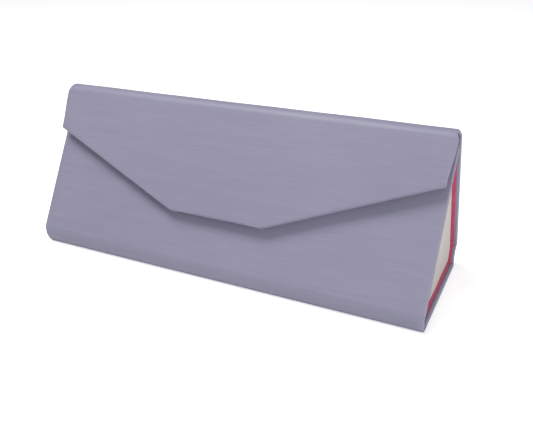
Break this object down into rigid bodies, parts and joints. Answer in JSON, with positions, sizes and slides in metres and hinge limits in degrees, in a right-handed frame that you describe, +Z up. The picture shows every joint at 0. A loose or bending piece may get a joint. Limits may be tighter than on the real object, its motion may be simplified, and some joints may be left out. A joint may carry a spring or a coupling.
{
  "type": "eyeglasses case",
  "caption": "Foldable triangular eyeglasses case with a boarded bottom, front and back, soft end gussets and a trapezoid magnetic flap over the front.",
  "frame": {"origin": "centre of the bounding box's base, on the surface that the case lies on", "axes": "+X along the case's length, +Y to the back, +Z up"},
  "size_m": [0.165, 0.055, 0.0632],
  "materials": {
    "leatherette": "satin",
    "lining": "matt",
    "gusset_cloth": "matt",
    "board": "matt",
    "magnet": "nickel plated"
  },
  "bodies": {
    "bottom": {"bottom_cover": "leatherette", "bottom_board": "board", "bottom_lining": "lining", "left_gusset_cloth": "gusset_cloth", "left_gusset_lining": "lining", "right_gusset_cloth": "gusset_cloth", "right_gusset_lining": "lining"},
    "front_strip": {"front_hinge_cover": "leatherette", "front_hinge_lining": "lining"},
    "front": {"front_cover": "leatherette", "front_board": "board", "front_lining": "lining", "front_magnets": "magnet"},
    "rear_strip": {"rear_hinge_cover": "leatherette", "rear_hinge_lining": "lining"},
    "back": {"back_cover": "leatherette", "back_board": "board", "back_lining": "lining"},
    "top_strip": {"top_hinge_cover": "leatherette", "top_hinge_lining": "lining"},
    "flap": {"flap_cover": "leatherette", "flap_board": "board", "flap_lining": "lining", "flap_magnets": "magnet"}
  },
  "joints": [
    {"name": "front_fold", "type": "hinge", "parent": "bottom", "child": "front_strip", "pos_m": [0, -0.02427, 0.0003], "axis": [-1, 0, 0], "range_deg": [0, 57], "deforming": ["left_gusset_cloth", "left_gusset_lining", "right_gusset_cloth", "right_gusset_lining"]},
    {"name": "mouth_opening", "type": "hinge", "parent": "front_strip", "child": "front", "pos_m": [0, -0.02603, 0.00751], "axis": [1, 0, 0], "range_deg": [0, 25], "deforming": ["left_gusset_cloth", "left_gusset_lining", "right_gusset_cloth", "right_gusset_lining"]},
    {"name": "collapse", "type": "hinge", "parent": "bottom", "child": "rear_strip", "pos_m": [0, 0.02503, 0.0003], "axis": [-1, 0, 0], "range_deg": [0, 75], "deforming": ["left_gusset_cloth", "left_gusset_lining", "right_gusset_cloth", "right_gusset_lining"]},
    {"name": "back_fold", "type": "hinge", "parent": "rear_strip", "child": "back", "pos_m": [0, 0.02732, 0.00911], "axis": [-1, 0, 0], "range_deg": [0, 37], "deforming": ["left_gusset_cloth", "left_gusset_lining", "right_gusset_cloth", "right_gusset_lining"]},
    {"name": "top_strip_turn", "type": "hinge", "parent": "back", "child": "top_strip", "pos_m": [0, 0.00658, 0.06059], "axis": [-1, 0, 0], "range_deg": [0, 105]},
    {"name": "flap_lift", "type": "hinge", "parent": "top_strip", "child": "flap", "pos_m": [0, -0.00004, 0.06109], "axis": [-1, 0, 0], "range_deg": [0, 105]}
  ],
  "couplings": [
    {"joint": "mouth_opening", "follows": "flap_lift", "ratio": 0.238},
    {"joint": "top_strip_turn", "follows": "flap_lift", "ratio": 1},
    {"joint": "front_fold", "follows": "collapse", "ratio": 0.76},
    {"joint": "back_fold", "follows": "collapse", "ratio": 0.492}
  ]
}
